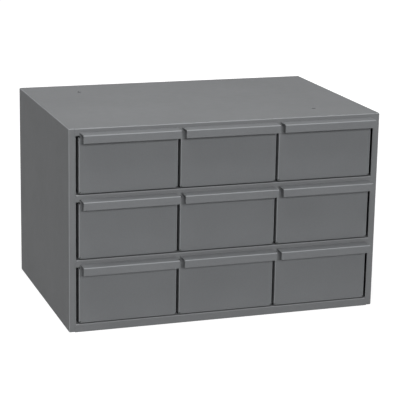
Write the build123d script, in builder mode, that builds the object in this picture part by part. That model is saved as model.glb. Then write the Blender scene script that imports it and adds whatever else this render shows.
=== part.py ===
from build123d import *
import os

# Nine-drawer parts case of folded sheet steel: a case with shelves and partitions, and nine
# drawers, each with a full-width folded pull, a tray and a cross divider.
#
# Frame: X to the right, Y to the back, Z up. The origin is in the middle of the footprint, pulls
# included, on the surface that the case stands on. Lengths are in millimetres.

INCH = 25.4

# ---- driving dimensions ----------------------------------------------------------------------

COLUMNS = 3
ROWS = 3

CASE_W = 17.25 * INCH
CASE_D = 11.625 * INCH           # back face to the face of the stiles
CASE_H = 10.875 * INCH
FRAME_W = 0.375 * INCH           # face width of the stiles and of the rails above the drawers
BASE_RAIL = 0.4375 * INCH        # face width of the lowest rail

SHEET = 0.76                     # 22 gauge: case, shelves and drawer fronts
FOLD_R = 1.6                     # outside radius of a fold in it
TRAY_SHEET = 0.61                # 24 gauge: trays and dividers
TRAY_FOLD_R = 1.3

RAIL_LAP = 1.5                   # a rail's end laps over the stile's face
RAIL_CORNER = 1.2                # and has its upper corner cut off
JOINT_GAP = 0.25
RETURN_LIP = 12.0                # inturned edges at the case's back and bottom

BOLT_X = 142.875                 # stacking bolt holes, from the case's middle
BOLT_Y = 95.25
BOLT_HOLE_R = 3.3

PARTITION_SETBACK = 25.0         # from the stiles' face
PARTITION_TAIL = 8.0             # from the back panel
PARTITION_LIP = 8.0

COLUMN_GAP = 3.57                # between drawers side by side, and beside the stiles
REAR_GAP = 9.875                 # from a tray's back to the back panel
HEADROOM = 8.65                  # from a tray's top to the lower edge of the rail above
FRONT_GAP = 1.6                  # front's lower edge above the rail
FRONT_SIDE_D = 10.0              # depth of the folds at the front's sides and bottom
FRONT_SIDE_GAP = 2.0             # side fold's end below the rail above
CORNER_RELIEF_R = 1.2
CLEAR = 0.35                     # between a drawer and the case

PULL_DROP = 5.2                  # pull's top below the rail's top
PULL_OUT = 0.75 * INCH
PULL_LIP = 10.8
PULL_INSET = 1.6

HEM = 6.0
BEAD_X = 44.0                    # pressed runners under the tray
BEAD_W = 10.0
BEAD_END = 18.0
BEAD_TAPER = 30.0

SLOTS = 3                        # divider positions along the tray
SLOT_LOW = 14.0
SLOT_H = 36.0
SLOT_PLAY = 0.4
DIVIDER_LIP = 6.0

# ---- derived dimensions ----------------------------------------------------------------------

ROW_PITCH = (CASE_H - BASE_RAIL) / ROWS
OVERALL_D = CASE_D + 2 * SHEET + CLEAR + PULL_OUT

Y_BACK = OVERALL_D / 2
Y_FACE = Y_BACK - CASE_D
Y_MID = (Y_BACK + Y_FACE) / 2
Y_INSIDE = Y_BACK - 2 * SHEET    # inner face of the back panel

OPENING_W = CASE_W - 2 * FRAME_W
OPENING_H = ROW_PITCH - FRAME_W
DRAWER_W = (OPENING_W - (COLUMNS + 1) * COLUMN_GAP) / COLUMNS
COLUMN_PITCH = DRAWER_W + COLUMN_GAP
RAIL_W = OPENING_W + 2 * RAIL_LAP
INSIDE_W = CASE_W - 2 * SHEET

# Drawer heights count from the shelf's top, and depths from the stiles' face.
FRONT_FACE = -(2 * SHEET + CLEAR)
FRONT_SIDE_TOP = OPENING_H - FRONT_SIDE_GAP
PULL_TOP = ROW_PITCH - PULL_DROP
TRAY_W = DRAWER_W - 2 * SHEET
TRAY_FRONT = FRONT_FACE + FOLD_R
TRAY_BACK = Y_INSIDE - Y_FACE - REAR_GAP
TRAY_LOW = FRONT_GAP + SHEET
TRAY_TOP = OPENING_H - HEADROOM
SLOT_PITCH = (TRAY_BACK - TRAY_FRONT) / (SLOTS + 1)


def shelf_top(level):
    """Height of a shelf's top: level 0 is the base, and level ROWS is the case's top."""
    return BASE_RAIL + level * ROW_PITCH


def column_x(column):
    return (column - (COLUMNS - 1) / 2) * COLUMN_PITCH


# ---- folded sheet ----------------------------------------------------------------------------


def folded(*points, sheet=SHEET, fold=FOLD_R):
    """Section of a folded sheet, whose middle line runs through the points."""
    with BuildSketch() as section:
        with BuildLine():
            FilletPolyline(*points, radius=fold - sheet / 2)
        trace(line_width=sheet)
    return section.sketch


def rounded_block(width, depth, height, radius):
    with BuildPart() as block:
        Box(width, depth, height)
        fillet(block.edges(), radius=radius)
    return block.part


def hollow_block(width, y_low, y_high, z_low, z_high, sheet, fold):
    """Closed box of sheet with folded edges. A pan is what stays when its open sides are cut off."""
    depth, height = y_high - y_low, z_high - z_low
    with BuildPart() as shell:
        with Locations((0, (y_low + y_high) / 2, (z_low + z_high) / 2)):
            add(rounded_block(width, depth, height, fold))
            add(rounded_block(width - 2 * sheet, depth - 2 * sheet, height - 2 * sheet, fold - sheet),
                mode=Mode.SUBTRACT)
    return shell.part


def between(x_size, y_low, y_high, z_low, z_high):
    """Plain block between two depths and two heights, centred on X, to cut with."""
    with BuildPart() as block:
        with Locations((0, (y_low + y_high) / 2, (z_low + z_high) / 2)):
            Box(x_size, y_high - y_low, z_high - z_low)
    return block.part


# ---- case ------------------------------------------------------------------------------------


def bolt_places(z):
    return Locations((-BOLT_X, Y_MID + BOLT_Y, z), (BOLT_X, Y_MID - BOLT_Y, z))


def make_wrapper():
    """Sides and top in one sheet, with the stiles, the top rail and the returns at back and base."""
    lip_x = CASE_W - 2 * RETURN_LIP
    with BuildPart() as wrapper:
        add(hollow_block(CASE_W, Y_FACE, Y_BACK, 0, CASE_H, SHEET, FOLD_R))
        # the drawers' opening, with the stiles left at its sides
        add(between(OPENING_W, Y_FACE - FOLD_R, Y_FACE + FOLD_R, -FOLD_R, CASE_H - FOLD_R),
            mode=Mode.SUBTRACT)
        # the back's opening and the base's
        add(between(lip_x, Y_BACK - FOLD_R, Y_BACK + FOLD_R, RETURN_LIP, CASE_H - RETURN_LIP),
            mode=Mode.SUBTRACT)
        add(between(lip_x, Y_FACE - FOLD_R, Y_BACK - RETURN_LIP, -FOLD_R, FOLD_R), mode=Mode.SUBTRACT)
        # the top rail: the top runs out over the stiles and folds down in front of them
        add(between(RAIL_W + 2 * JOINT_GAP, Y_FACE - FOLD_R, Y_FACE + FOLD_R,
                    CASE_H - FOLD_R, CASE_H + FOLD_R), mode=Mode.SUBTRACT)
        rail_y, top_z = Y_FACE - SHEET / 2, CASE_H - SHEET / 2
        with BuildSketch(Plane.YZ):
            add(folded((rail_y, CASE_H - FRAME_W), (rail_y, top_z), (Y_FACE + 2 * FOLD_R, top_z)))
        extrude(amount=RAIL_W / 2, both=True)
        with bolt_places(CASE_H):
            Cylinder(BOLT_HOLE_R, 2 * FOLD_R, mode=Mode.SUBTRACT)
    return wrapper


def make_back_panel():
    with BuildPart() as back_panel:
        with Locations((0, Y_INSIDE + SHEET / 2, CASE_H / 2)):
            Box(CASE_W - 2 * FOLD_R, SHEET, CASE_H - 2 * FOLD_R)
    return back_panel


def make_shelf(top, rail=FRAME_W, bolted=False):
    """Shelf with a rail folded down in front of the stiles, and flanges down at back and sides."""
    mid, rail_end = top - SHEET / 2, top - rail
    flange_end = rail_end + FOLD_R
    rail_y, back_y = Y_FACE - SHEET / 2, Y_INSIDE - SHEET / 2
    side_x = (INSIDE_W - SHEET) / 2
    side_start = Y_FACE + FOLD_R
    with BuildPart() as shelf:
        with BuildSketch(Plane.YZ):
            add(folded((rail_y, rail_end), (rail_y, mid), (back_y, mid), (back_y, flange_end)))
        extrude(amount=OPENING_W / 2 - JOINT_GAP, both=True)
        with BuildSketch(Plane.XZ.offset(-side_start)):
            add(folded((-side_x, flange_end), (-side_x, mid), (side_x, mid), (side_x, flange_end)))
        extrude(amount=-(Y_INSIDE - FOLD_R - side_start))
        with BuildSketch(Plane.XZ.offset(-Y_FACE)) as rail_ends:
            with Locations((0, rail_end)):
                Rectangle(RAIL_W, rail - FOLD_R, align=(Align.CENTER, Align.MIN))
            chamfer(rail_ends.vertices().group_by(Axis.Y)[-1], length=RAIL_CORNER)
        extrude(amount=SHEET)
        if bolted:
            with bolt_places(top):
                Cylinder(BOLT_HOLE_R, 2 * FOLD_R, mode=Mode.SUBTRACT)
    return shelf


def make_partition():
    """Upright sheet between two columns, on the shelf, with a lip under the sheet above."""
    ceiling = ROW_PITCH - SHEET * 3 / 2
    start = Y_FACE + PARTITION_SETBACK
    with BuildPart() as partition:
        with BuildSketch(Plane.XZ.offset(-start)):
            add(folded((0, 0), (0, ceiling), (PARTITION_LIP, ceiling)))
        extrude(amount=-(Y_INSIDE - PARTITION_TAIL - start))
        leading = partition.edges().filter_by(Axis.X).group_by(Axis.Y)[0].sort_by(Axis.Z)[0]
        chamfer(leading, length=RETURN_LIP)
    return partition


# ---- drawer, at x 0 with its shelf's top at z 0 and the stiles' face at y 0 ---------------------


def make_front():
    """Drawer front: a shallow pan whose upper edge folds out and down into the pull."""
    fold_end = FRONT_FACE + FRONT_SIDE_D
    corner_x = DRAWER_W / 2 - FOLD_R
    face_y, lip_y = FRONT_FACE + SHEET / 2, FRONT_FACE - PULL_OUT + SHEET / 2
    pull_z = PULL_TOP - SHEET / 2
    with BuildPart() as front:
        add(hollow_block(DRAWER_W, FRONT_FACE, fold_end + FOLD_R, FRONT_GAP, FRONT_SIDE_TOP + FOLD_R,
                         SHEET, FOLD_R))
        split(bisect_by=Plane.XZ.offset(-fold_end), keep=Keep.TOP)
        split(bisect_by=Plane.XY.offset(FRONT_SIDE_TOP), keep=Keep.BOTTOM)
        # the lower corners are notched between the side folds and the bottom fold, and drilled
        for side in (-1, 1):
            with Locations((side * DRAWER_W / 2, fold_end, FRONT_GAP)):
                Box(2 * FOLD_R, 2 * (FRONT_SIDE_D - FOLD_R), 2 * FOLD_R, mode=Mode.SUBTRACT)
        with BuildSketch(Plane.XZ.offset(-FRONT_FACE - FOLD_R)):
            with Locations((-corner_x, FRONT_GAP + FOLD_R), (corner_x, FRONT_GAP + FOLD_R),
                           (-corner_x, FRONT_SIDE_TOP), (corner_x, FRONT_SIDE_TOP)):
                Circle(CORNER_RELIEF_R)
        extrude(amount=2 * FOLD_R, mode=Mode.SUBTRACT)
        with BuildSketch(Plane.YZ):
            add(folded((face_y, FRONT_SIDE_TOP - CORNER_RELIEF_R), (face_y, pull_z), (lip_y, pull_z),
                       (lip_y, PULL_TOP - PULL_LIP)))
        extrude(amount=DRAWER_W / 2 - PULL_INSET, both=True)
    return front


def make_tray():
    """Tray: floor, sides and back in one sheet, hemmed, with two runners pressed into the floor."""
    wall_x = TRAY_W / 2 - TRAY_SHEET
    with BuildPart() as tray:
        add(hollow_block(TRAY_W, TRAY_FRONT - TRAY_FOLD_R, TRAY_BACK, TRAY_LOW, TRAY_TOP + TRAY_FOLD_R,
                         TRAY_SHEET, TRAY_FOLD_R))
        split(bisect_by=Plane.XZ.offset(-TRAY_FRONT), keep=Keep.BOTTOM)
        split(bisect_by=Plane.XY.offset(TRAY_TOP), keep=Keep.BOTTOM)
        # hems, turned in along the sides and the back
        with BuildSketch(Plane.XY.offset(TRAY_TOP)):
            for side in (-1, 1):
                with Locations((side * (TRAY_W / 2 - TRAY_SHEET), (TRAY_FRONT + TRAY_BACK) / 2)):
                    Rectangle(2 * TRAY_SHEET, TRAY_BACK - TRAY_FRONT - 2 * TRAY_FOLD_R)
            with Locations((0, TRAY_BACK - TRAY_SHEET)):
                Rectangle(TRAY_W - 2 * TRAY_FOLD_R, 2 * TRAY_SHEET)
        extrude(amount=-HEM)
        # runners
        with BuildSketch(Plane.XY.offset(TRAY_LOW)):
            with Locations((-BEAD_X, (TRAY_FRONT + TRAY_BACK) / 2), (BEAD_X, (TRAY_FRONT + TRAY_BACK) / 2)):
                SlotOverall(TRAY_BACK - TRAY_FRONT - 2 * BEAD_END, BEAD_W, rotation=90)
        extrude(amount=-(TRAY_LOW - CLEAR), taper=BEAD_TAPER)
        with BuildSketch(Plane.XY.offset(TRAY_LOW + TRAY_SHEET)):
            with Locations((-BEAD_X, (TRAY_FRONT + TRAY_BACK) / 2), (BEAD_X, (TRAY_FRONT + TRAY_BACK) / 2)):
                SlotOverall(TRAY_BACK - TRAY_FRONT - 2 * BEAD_END, BEAD_W, rotation=90)
        extrude(amount=-(TRAY_LOW - CLEAR), taper=BEAD_TAPER, mode=Mode.SUBTRACT)
        # slots for the divider's ears
        for slot in range(1, SLOTS + 1):
            with Locations((0, TRAY_FRONT + slot * SLOT_PITCH, TRAY_LOW + SLOT_LOW)):
                Box(TRAY_W + 1, TRAY_SHEET + SLOT_PLAY, SLOT_H, mode=Mode.SUBTRACT,
                    align=(Align.CENTER, Align.CENTER, Align.MIN))
    return tray


def make_divider():
    """Cross divider in the tray's middle slots, with a lip folded over at the top."""
    at_y = TRAY_FRONT + (SLOTS + 1) // 2 * SLOT_PITCH
    low, high = TRAY_LOW + TRAY_FOLD_R, TRAY_TOP - HEM - TRAY_SHEET
    half_w = TRAY_W / 2 - TRAY_SHEET - SLOT_PLAY
    with BuildPart() as divider:
        with BuildSketch(Plane.YZ):
            add(folded((at_y, low), (at_y, high), (at_y + DIVIDER_LIP, high), sheet=TRAY_SHEET,
                       fold=TRAY_FOLD_R))
        extrude(amount=half_w, both=True)
        with Locations((0, at_y, TRAY_LOW + SLOT_LOW)):
            Box(TRAY_W, TRAY_SHEET, SLOT_H - SLOT_PLAY, align=(Align.CENTER, Align.CENTER, Align.MIN))
    return divider


# ---- pieces ----------------------------------------------------------------------------------


def save(piece, name, x=0.0, y=0.0, z=0.0):
    placed = piece.part.moved(Location((x, y, z)))
    placed.label = name
    export_step(placed, f"parts/{name}.step")


os.makedirs("parts", exist_ok=True)

save(make_wrapper(), "case_wrapper")
save(make_back_panel(), "back_panel")
save(make_shelf(shelf_top(0), rail=BASE_RAIL, bolted=True), "base_pan")
save(make_shelf(shelf_top(1)), "shelf_lower")
save(make_shelf(shelf_top(2)), "shelf_upper")

partition = make_partition()
front, tray, divider = make_front(), make_tray(), make_divider()

# rows count from the top and columns from the left
for row in range(1, ROWS + 1):
    z = shelf_top(ROWS - row)
    for gap in range(1, COLUMNS):
        save(partition, f"partition_r{row}_{gap}", x=column_x(gap - 0.5), z=z)
    for column in range(1, COLUMNS + 1):
        place = {"x": column_x(column - 1), "y": Y_FACE, "z": z}
        save(front, f"front_r{row}_c{column}", **place)
        save(tray, f"tray_r{row}_c{column}", **place)
        save(divider, f"divider_r{row}_c{column}", **place)
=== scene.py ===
import math

import bpy
from bpy.props import FloatProperty, FloatVectorProperty, PointerProperty
from bpy.types import NodeSocket, Operator, Panel, PropertyGroup
from mathutils import Matrix, Vector


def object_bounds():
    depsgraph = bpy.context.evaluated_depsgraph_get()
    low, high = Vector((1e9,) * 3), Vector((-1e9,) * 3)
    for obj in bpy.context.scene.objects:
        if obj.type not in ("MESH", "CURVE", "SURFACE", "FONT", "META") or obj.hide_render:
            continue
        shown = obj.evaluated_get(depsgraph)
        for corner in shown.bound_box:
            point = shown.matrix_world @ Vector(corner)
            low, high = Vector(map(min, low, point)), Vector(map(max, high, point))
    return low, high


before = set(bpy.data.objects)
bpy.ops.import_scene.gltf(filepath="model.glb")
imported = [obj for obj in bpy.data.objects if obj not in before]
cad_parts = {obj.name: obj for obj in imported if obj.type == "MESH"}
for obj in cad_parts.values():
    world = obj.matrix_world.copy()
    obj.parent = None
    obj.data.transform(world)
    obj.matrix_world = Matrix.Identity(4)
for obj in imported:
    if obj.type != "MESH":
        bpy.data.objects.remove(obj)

bl_info = {
    "name": "Drill Bit Drawer Case",
    "version": (1, 0, 0),
    "blender": (4, 5, 0),
    "location": "3D View > Sidebar > Drawer Case",
    "description": "Paints a nine-drawer sheet-steel case and sets it on a pale stage",
    "category": "Object",
}

CAD_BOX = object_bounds()

# Powder coat: the widths of its spots in metres, and what they do to its colour and roughness
CLOUD_SIZE = 0.09
CLOUD_SHADES = 0.965, 1.035
SPECK_SIZE = 0.0011
SPECK_TINTS = (0.955, 0.955, 0.957), (1.0, 1.0, 1.0)
SPECK_STOPS = 0.32, 0.6
SMUDGE_SIZE = 0.012
SMUDGE_ROUGHNESS = -0.04, 0.05
PEEL_STRENGTH = 0.9
COAT_IOR = 1.5

# Largest part of the normal where flat sheet starts to bend and the painted fold highlight begins,
# and where that painted highlight is full
FLAT_FACING = 0.985
FOLD_FACING = 0.86

# Floor: its grain, greys and glow, which grows from the case out until the floor is plain white
GRAIN_SIZE = 0.025
GRAIN_GREYS = 0.30, 0.33
BOUNCE_GREY = 0.42
GLOW_NEAR, GLOW_FAR = 0.45, 1.1
GLOW_LEAST = 0.86

# Soft boxes: name, place, width and height in metres, and the setting with its power
SOFT_BOXES = (
    ("key_soft_box", (-0.45, -4.0, 1.5), (1.6, 0.6), "key_power"),
    ("top_soft_box", (-0.35, -0.5, 1.9), (1.3, 0.8), "top_power"),
    ("left_soft_box", (-2.25, -0.5, 0.55), (1.1, 0.9), "left_power"),
    ("rear_soft_box", (1.1, 2.2, 0.15), (1.4, 0.25), "rear_power"),
)

SENSOR_WIDTH = 36.0
CLIP_NEAR, CLIP_FAR = 0.01, 200

# Sockets of a colour Mix node, where several share a name
MIX_A, MIX_B, MIX_RESULT = 6, 7, 2


# ---- settings --------------------------------------------------------------------------------


class PaintSettings(PropertyGroup):
    case_colour: FloatVectorProperty(
        name="Case colour", description="Powder coat on the case and its shelves",
        subtype="COLOR", size=3, min=0, max=1, default=(0.176, 0.181, 0.186))
    front_colour: FloatVectorProperty(
        name="Front colour", description="Powder coat on the drawer fronts",
        subtype="COLOR", size=3, min=0, max=1, default=(0.172, 0.178, 0.184))
    tray_colour: FloatVectorProperty(
        name="Tray colour", description="Powder coat inside the drawers",
        subtype="COLOR", size=3, min=0, max=1, default=(0.165, 0.170, 0.176))
    roughness: FloatProperty(
        name="Roughness", description="How matt the paint is", subtype="FACTOR", min=0, max=1,
        default=0.58)
    gloss: FloatProperty(
        name="Gloss", description="Strength of the paint's reflections", subtype="FACTOR", min=0,
        max=1, default=0.12)
    # Painted highlight: the coat is painted paler along folds, where their rounds catch the light
    fold_highlight: FloatProperty(
        name="Fold lift", description="How much paler the rubbed coat is along a fold",
        subtype="FACTOR", min=0, max=1, default=0.55)
    peel_size: FloatProperty(
        name="Orange peel", description="Width of one ripple in the powder coat",
        subtype="DISTANCE", unit="LENGTH", min=0.0002, default=0.0016)
    peel_depth: FloatProperty(
        name="Peel depth", description="Height of the ripples", subtype="DISTANCE", unit="LENGTH",
        min=0, default=0.000018)


class StageSettings(PropertyGroup):
    key_power: FloatProperty(
        name="Key light", description="Power of the soft box in front of the case",
        subtype="POWER", unit="POWER", min=0, default=101.0)
    top_power: FloatProperty(
        name="Top light", description="Power of the soft box above the case's front",
        subtype="POWER", unit="POWER", min=0, default=24.0)
    left_power: FloatProperty(
        name="Left light", description="Power of the soft box on the case's left",
        subtype="POWER", unit="POWER", min=0, default=0.6)
    rear_power: FloatProperty(
        name="Rear light", description="Power of the soft box behind the case's right",
        subtype="POWER", unit="POWER", min=0, default=15.0)
    fill: FloatProperty(
        name="Fill", description="Strength of the even light from all round", min=0, default=0.1)
    floor_size: FloatProperty(
        name="Floor", description="Side of the square floor", subtype="DISTANCE", unit="LENGTH",
        min=1, default=40.0)


class ViewSettings(PropertyGroup):
    azimuth: FloatProperty(
        name="Azimuth", description="Turn of the camera to the case's left",
        subtype="ANGLE", unit="ROTATION", default=math.radians(-18.91))
    elevation: FloatProperty(
        name="Elevation", description="How far the camera looks down",
        subtype="ANGLE", unit="ROTATION", default=math.radians(14.67))
    roll: FloatProperty(
        name="Roll", description="Tilt of the picture", subtype="ANGLE", unit="ROTATION",
        default=math.radians(1.03))
    distance: FloatProperty(
        name="Distance", description="Camera to the point that it looks at",
        subtype="DISTANCE", unit="LENGTH", default=2.231)
    target: FloatVectorProperty(
        name="Target", description="Point that the camera looks at", subtype="XYZ", unit="LENGTH",
        size=3, default=(0.0097, 0.0051, 0.1307))
    lens: FloatProperty(
        name="Lens", description="Focal length in millimetres on a 36 mm sensor", min=1,
        default=139.9)


# ---- node trees ------------------------------------------------------------------------------


class Nodes:
    """Adds nodes to the node tree of a material or of the world."""

    def __init__(self, tree):
        self.tree = tree

    def feed(self, node, inputs):
        """Sets inputs of a node, each to a value or to the other node's output that feeds it."""
        for key, value in inputs.items():
            if isinstance(value, NodeSocket):
                self.tree.links.new(value, node.inputs[key])
            else:
                node.inputs[key].default_value = value

    def add(self, kind, inputs=None, **settings):
        node = self.tree.nodes.new(kind)
        for key, value in settings.items():
            setattr(node, key, value)
        self.feed(node, inputs or {})
        return node

    def largest(self, values):
        most, *others = values
        for value in others:
            larger = self.add("ShaderNodeMath", {0: most, 1: value}, operation="MAXIMUM")
            most = larger.outputs["Value"]
        return most

    def seen_directly(self):
        """1 for camera, glossy and transmission rays, which see a white surround, and else 0."""
        rays = self.add("ShaderNodeLightPath")
        return self.largest([rays.outputs[f"Is {kind} Ray"]
                             for kind in ("Camera", "Glossy", "Transmission")])


class Coat(Nodes):
    """The nodes of one coat of paint."""

    def __init__(self, tree):
        super().__init__(tree)
        where = self.add("ShaderNodeTexCoord")
        self.place, self.facing = where.outputs["Object"], where.outputs["Normal"]

    def noise(self, size, detail):
        """Noise whose spots are about `size` metres wide."""
        made = self.add("ShaderNodeTexNoise",
                        {"Vector": self.place, "Scale": 1 / size, "Detail": detail})
        return made.outputs["Fac"]

    def ramp(self, source, colours, stops=(0.3, 0.7)):
        """Spreads a grey value between two colours."""
        made = self.add("ShaderNodeValToRGB", {"Fac": source})
        for stop, place, colour in zip(made.color_ramp.elements, stops, colours):
            stop.position = place
            stop.color = (*colour, 1)
        return made.outputs["Color"]

    def fold_highlight_mask(self):
        """Mask of the highlight painted along folds: 1 on the round of a fold and 0 on flat sheet,
        which faces along one of the axes.
        """
        parts = self.add("ShaderNodeSeparateXYZ", {"Vector": self.facing})
        sizes = [self.add("ShaderNodeMath", {0: parts.outputs[axis]}, operation="ABSOLUTE")
                 for axis in "XYZ"]
        spread = self.add("ShaderNodeMapRange", {
            "Value": self.largest([size.outputs["Value"] for size in sizes]),
            "From Min": FLAT_FACING, "From Max": FOLD_FACING})
        return spread.outputs["Result"]


# ---- powder coat -----------------------------------------------------------------------------


def shade(colour, factor):
    return tuple(min(1.0, channel * factor) for channel in colour)


def powder_coat(name, colour, paint):
    """Satin powder coat: slightly cloudy and specked, with a highlight painted paler along folds,
    and fine orange peel.
    """
    material = bpy.data.materials.new(name)
    material.use_nodes = True
    coat = Coat(material.node_tree)
    clouded = coat.ramp(coat.noise(CLOUD_SIZE, detail=3),
                        [shade(colour, factor) for factor in CLOUD_SHADES])
    specked = coat.ramp(coat.noise(SPECK_SIZE, detail=1), SPECK_TINTS, SPECK_STOPS)
    mixed = coat.add("ShaderNodeMix", {"Factor": 1.0, MIX_A: clouded, MIX_B: specked},
                     data_type="RGBA", blend_type="MULTIPLY")
    # Painted highlight: the base colour is made paler on the rounds of folds, where they catch the
    # light
    highlighted = coat.add("ShaderNodeMix", {
        "Factor": coat.fold_highlight_mask(), MIX_A: mixed.outputs[MIX_RESULT],
        MIX_B: (*shade(colour, 1 + paint.fold_highlight), 1)}, data_type="RGBA")
    smoothest, roughest = (paint.roughness + change for change in SMUDGE_ROUGHNESS)
    rough = coat.add("ShaderNodeMapRange", {
        "Value": coat.noise(SMUDGE_SIZE, detail=2), "To Min": smoothest, "To Max": roughest})
    peel = coat.add("ShaderNodeBump", {
        "Height": coat.noise(paint.peel_size, detail=1.5),
        "Strength": PEEL_STRENGTH, "Distance": paint.peel_depth})
    coat.feed(material.node_tree.nodes["Principled BSDF"], {
        "Base Color": highlighted.outputs[MIX_RESULT], "Roughness": rough.outputs["Result"],
        "Normal": peel.outputs["Normal"], "IOR": COAT_IOR, "Specular IOR Level": paint.gloss})
    return material


def paint_nodes(prefixes, material):
    names = [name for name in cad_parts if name.startswith(prefixes)]
    if not names:
        raise RuntimeError(f"the frame has no piece named {prefixes}")
    for name in names:
        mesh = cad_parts[name].data
        mesh.materials.clear()
        mesh.materials.append(material)


class DRAWERCASE_OT_paint_case(Operator):
    """Powder coats the case, its back, base, shelves and partitions"""
    bl_idname = "drawercase.paint_case"
    bl_label = "Paint Case"

    def execute(self, context):
        paint = context.scene.drawercase_paint
        coat = powder_coat("case_powder_coat", paint.case_colour, paint)
        paint_nodes(("case_wrapper", "back_panel", "base_pan", "shelf_", "partition_"), coat)
        return {"FINISHED"}


class DRAWERCASE_OT_paint_fronts(Operator):
    """Powder coats the drawer fronts and their pulls"""
    bl_idname = "drawercase.paint_fronts"
    bl_label = "Paint Fronts"

    def execute(self, context):
        paint = context.scene.drawercase_paint
        coat = powder_coat("front_powder_coat", paint.front_colour, paint)
        paint_nodes(("front_",), coat)
        return {"FINISHED"}


class DRAWERCASE_OT_paint_trays(Operator):
    """Powder coats the trays and their cross dividers"""
    bl_idname = "drawercase.paint_trays"
    bl_label = "Paint Trays"

    def execute(self, context):
        paint = context.scene.drawercase_paint
        coat = powder_coat("tray_powder_coat", paint.tray_colour, paint)
        paint_nodes(("tray_", "divider_"), coat)
        return {"FINISHED"}


# ---- stage -----------------------------------------------------------------------------------


def grey(value):
    return value, value, value, 1


def pale_floor_material():
    """White to the camera but for the case's faint shadow, and plain grey to bouncing light."""
    material = bpy.data.materials.new("pale_floor")
    material.use_nodes = True
    nodes = Nodes(material.node_tree)
    nodes.tree.nodes.clear()
    place = nodes.add("ShaderNodeTexCoord").outputs["Object"]
    grain = nodes.add("ShaderNodeTexNoise", {"Vector": place, "Scale": 1 / GRAIN_SIZE})
    tint = nodes.add("ShaderNodeValToRGB", {"Fac": grain.outputs["Fac"]})
    for stop, value in zip(tint.color_ramp.elements, GRAIN_GREYS):
        stop.color = grey(value)
    away = nodes.add("ShaderNodeVectorMath", {0: place}, operation="LENGTH")
    strength = nodes.add("ShaderNodeMapRange", {
        "Value": away.outputs["Value"], "From Min": GLOW_NEAR, "From Max": GLOW_FAR,
        "To Min": GLOW_LEAST})
    seen = nodes.add("ShaderNodeBsdfDiffuse", {"Color": tint.outputs["Color"]})
    glow = nodes.add("ShaderNodeEmission", {"Strength": strength.outputs["Result"]})
    camera_side = nodes.add("ShaderNodeAddShader",
                            {0: seen.outputs["BSDF"], 1: glow.outputs["Emission"]})
    bounce = nodes.add("ShaderNodeBsdfDiffuse", {"Color": grey(BOUNCE_GREY)})
    choose = nodes.add("ShaderNodeMixShader", {
        "Fac": nodes.seen_directly(), 1: bounce.outputs["BSDF"],
        2: camera_side.outputs["Shader"]})
    nodes.add("ShaderNodeOutputMaterial", {"Surface": choose.outputs["Shader"]})
    return material


def set_world(fill):
    """Even light all round, and plain white where the camera or a mirror looks at it."""
    world = bpy.data.worlds.new("soft_surround")
    bpy.context.scene.world = world
    world.use_nodes = True
    nodes = Nodes(world.node_tree)
    light = nodes.tree.nodes["Background"]
    nodes.feed(light, {"Color": grey(1), "Strength": fill})
    white = nodes.add("ShaderNodeBackground", {"Color": grey(1), "Strength": 1.0})
    choose = nodes.add("ShaderNodeMixShader", {
        "Fac": nodes.seen_directly(), 1: light.outputs["Background"],
        2: white.outputs["Background"]})
    nodes.feed(nodes.tree.nodes["World Output"], {"Surface": choose.outputs["Shader"]})


def soft_box(name, place, aim, size, power):
    direction = Vector(aim) - Vector(place)
    bpy.ops.object.light_add(type="AREA", location=place,
                             rotation=direction.to_track_quat("-Z", "Y").to_euler())
    lamp = bpy.context.object
    lamp.name = name
    lamp.data.shape = "RECTANGLE"
    lamp.data.size, lamp.data.size_y = size
    lamp.data.energy = power


def product_camera(view):
    """A camera that looks at the view's target from its azimuth and elevation."""
    turn = (Matrix.Rotation(view.azimuth, 3, "Z")
            @ Matrix.Rotation(math.pi / 2 - view.elevation, 3, "X")
            @ Matrix.Rotation(view.roll, 3, "Z"))
    place = Vector(view.target) + turn @ Vector((0, 0, view.distance))
    bpy.ops.object.camera_add(location=place, rotation=turn.to_euler())
    camera = bpy.context.object
    camera.name = "product_camera"
    camera.data.sensor_width = SENSOR_WIDTH
    camera.data.lens = view.lens
    camera.data.clip_start, camera.data.clip_end = CLIP_NEAR, CLIP_FAR
    return camera


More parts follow.
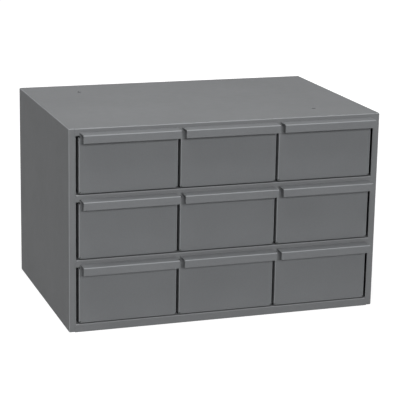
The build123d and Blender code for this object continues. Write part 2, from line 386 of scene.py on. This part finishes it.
class DRAWERCASE_OT_set_stage(Operator):
    """Lays the pale floor and sets up the soft boxes, the surround and the camera"""
    bl_idname = "drawercase.set_stage"
    bl_label = "Set Stage"

    def execute(self, context):
        scene = context.scene
        stage = scene.drawercase_stage
        bpy.ops.object.select_all(action="DESELECT")
        bpy.ops.mesh.primitive_plane_add(size=stage.floor_size, location=(0, 0, CAD_BOX[0][2]))
        floor = context.object
        floor.name = "pale_floor"
        floor.data.materials.append(pale_floor_material())

        set_world(stage.fill)
        middle = (CAD_BOX[0][0] + CAD_BOX[1][0]) / 2, 0.0, CAD_BOX[1][2] / 2
        for name, place, size, power in SOFT_BOXES:
            soft_box(name, place, middle, size, getattr(stage, power))

        scene.camera = product_camera(scene.drawercase_view)
        scene.view_settings.view_transform = "Standard"
        return {"FINISHED"}


# ---- panel and run ---------------------------------------------------------------------------

STEPS = (
    DRAWERCASE_OT_paint_case,
    DRAWERCASE_OT_paint_fronts,
    DRAWERCASE_OT_paint_trays,
    DRAWERCASE_OT_set_stage,
)
SETTINGS = {
    "drawercase_paint": PaintSettings,
    "drawercase_stage": StageSettings,
    "drawercase_view": ViewSettings,
}


class DRAWERCASE_PT_panel(Panel):
    """Steps and settings of the drawer case"""
    bl_label = "Drawer Case"
    bl_idname = "DRAWERCASE_PT_panel"
    bl_space_type = "VIEW_3D"
    bl_region_type = "UI"
    bl_category = "Drawer Case"

    def draw(self, context):
        for step in STEPS:
            self.layout.operator(step.bl_idname)
        for name, group in SETTINGS.items():
            box = self.layout.box()
            for setting in group.__annotations__:
                box.prop(getattr(context.scene, name), setting)


CLASSES = (*SETTINGS.values(), *STEPS, DRAWERCASE_PT_panel)


def register():
    for cls in CLASSES:
        bpy.utils.register_class(cls)
    for name, group in SETTINGS.items():
        setattr(bpy.types.Scene, name, PointerProperty(type=group))


def unregister():
    for name in SETTINGS:
        delattr(bpy.types.Scene, name)
    for cls in reversed(CLASSES):
        bpy.utils.unregister_class(cls)


def main():
    register()
    bpy.ops.drawercase.paint_case()
    bpy.ops.drawercase.paint_fronts()
    bpy.ops.drawercase.paint_trays()
    bpy.ops.drawercase.set_stage()


if __name__ == "__main__":
    main()
